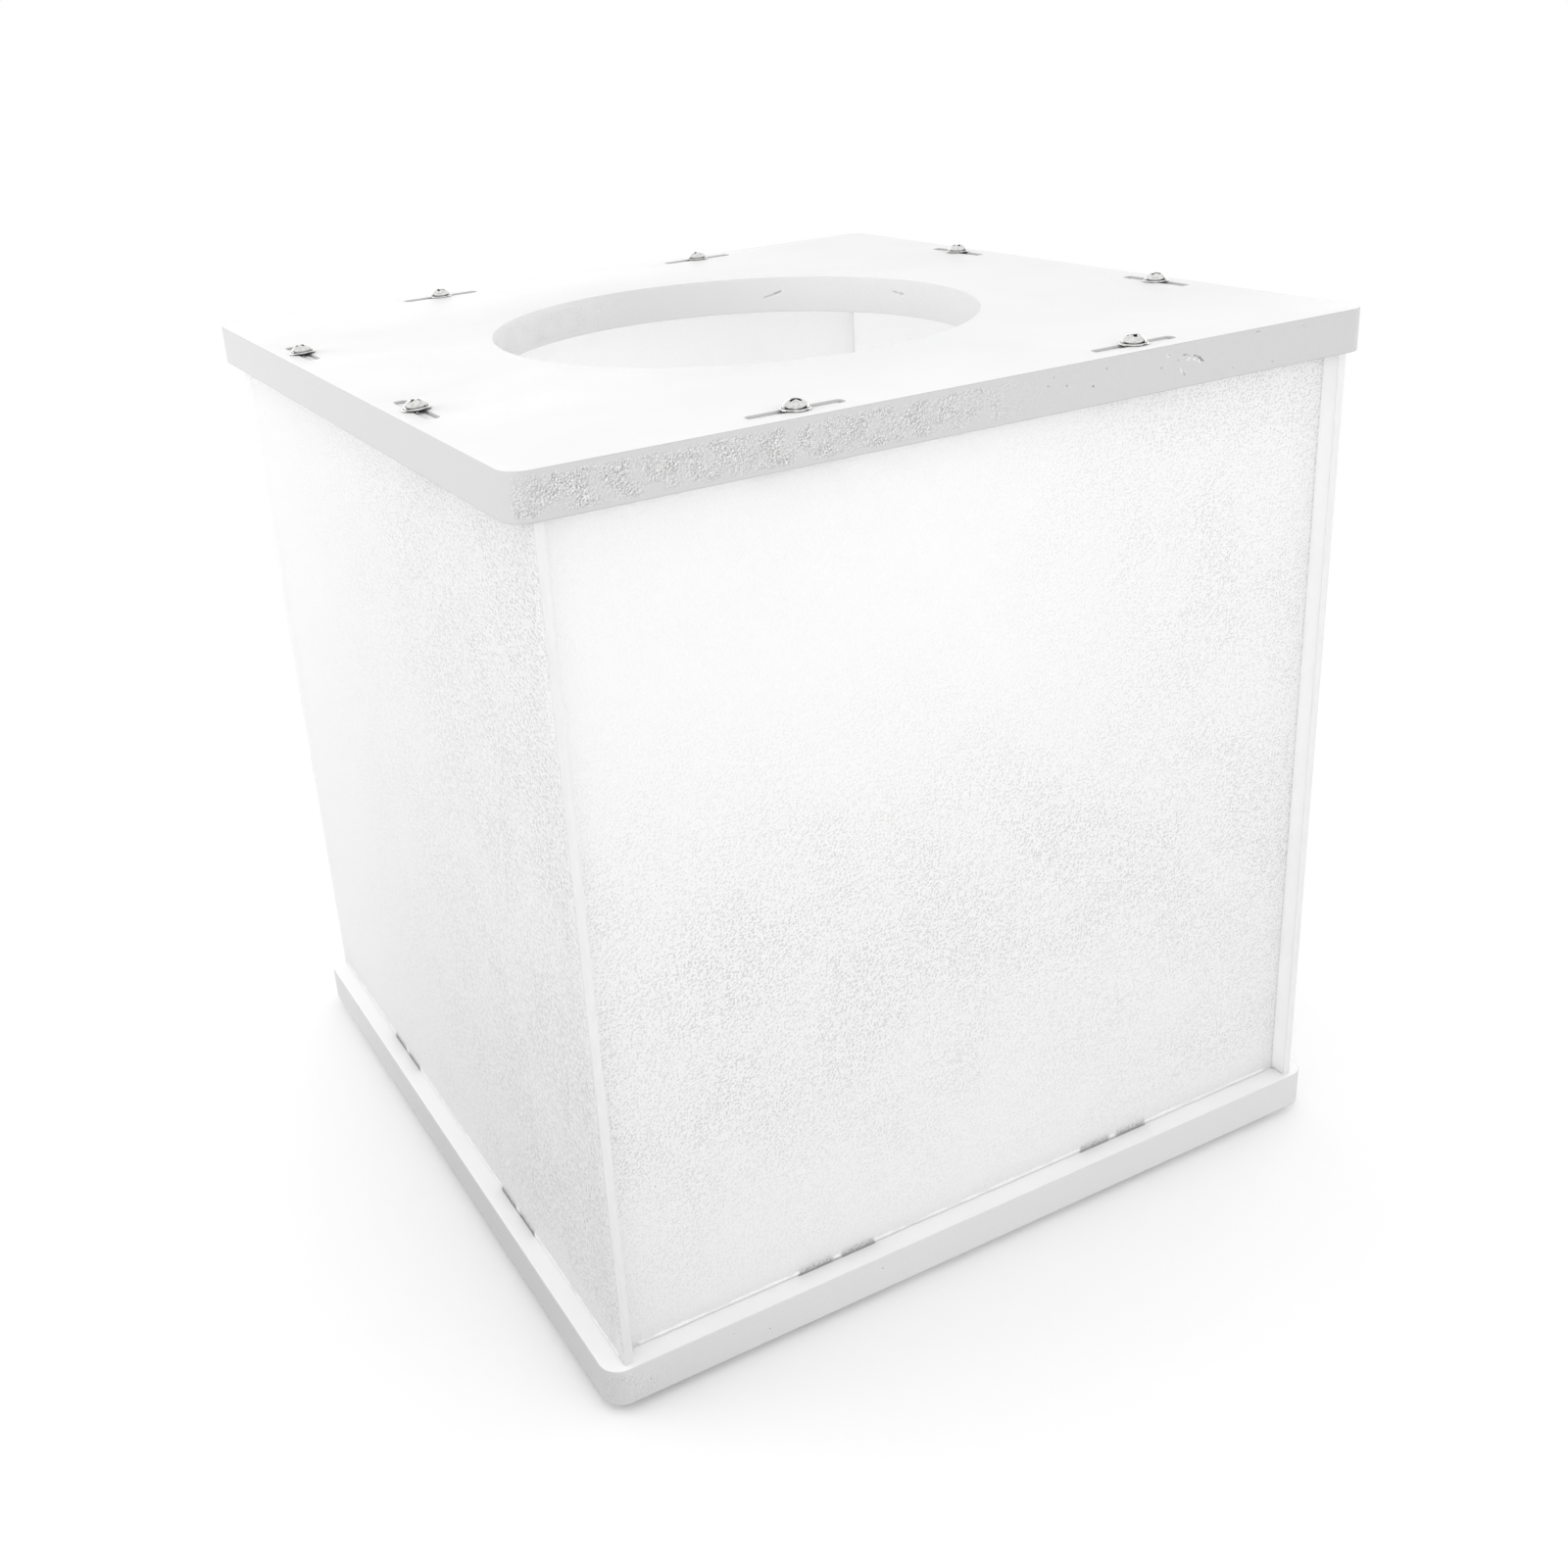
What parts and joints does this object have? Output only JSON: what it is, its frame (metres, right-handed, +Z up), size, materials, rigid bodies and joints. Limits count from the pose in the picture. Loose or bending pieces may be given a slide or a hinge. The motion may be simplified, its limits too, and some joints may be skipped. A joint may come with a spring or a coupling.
{
  "type": "raffle box",
  "caption": "Square raffle box of foam boards and frosted panels joined by tabs and screws, with a round hand hole in the lid board.",
  "frame": {"origin": "middle of the footprint, on the surface that the base screws' heads stand on", "axes": "+Z up through the hand hole, -Y towards the front panel, +X towards the right panel as seen from the front"},
  "size_m": [0.26, 0.26, 0.2704],
  "materials": {
    "foam_board": "smooth white faces, with light grey cut edges that show the foam's fine pores",
    "frosted_sheet": "translucent white with a fine pebbled grain and smooth cut edges",
    "zinc_screw": "bright zinc plate"
  },
  "bodies": {
    "box": {"base_board": "foam_board", "front_panel": "frosted_sheet", "back_panel": "frosted_sheet", "left_panel": "frosted_sheet", "right_panel": "frosted_sheet", "base_screw_front_left": "zinc_screw", "base_screw_front_right": "zinc_screw", "base_screw_right_front": "zinc_screw", "base_screw_right_back": "zinc_screw", "base_screw_back_right": "zinc_screw", "base_screw_back_left": "zinc_screw", "base_screw_left_back": "zinc_screw", "base_screw_left_front": "zinc_screw"},
    "lid": {"lid_board": "foam_board", "lid_screw_front_left": "zinc_screw", "lid_screw_front_right": "zinc_screw", "lid_screw_right_front": "zinc_screw", "lid_screw_right_back": "zinc_screw", "lid_screw_back_right": "zinc_screw", "lid_screw_back_left": "zinc_screw", "lid_screw_left_back": "zinc_screw", "lid_screw_left_front": "zinc_screw"}
  },
  "joints": [
    {"name": "lid_lift", "type": "slide", "parent": "box", "child": "lid", "axis": [0, 0, 1], "range_m": [0, 0.06]}
  ]
}
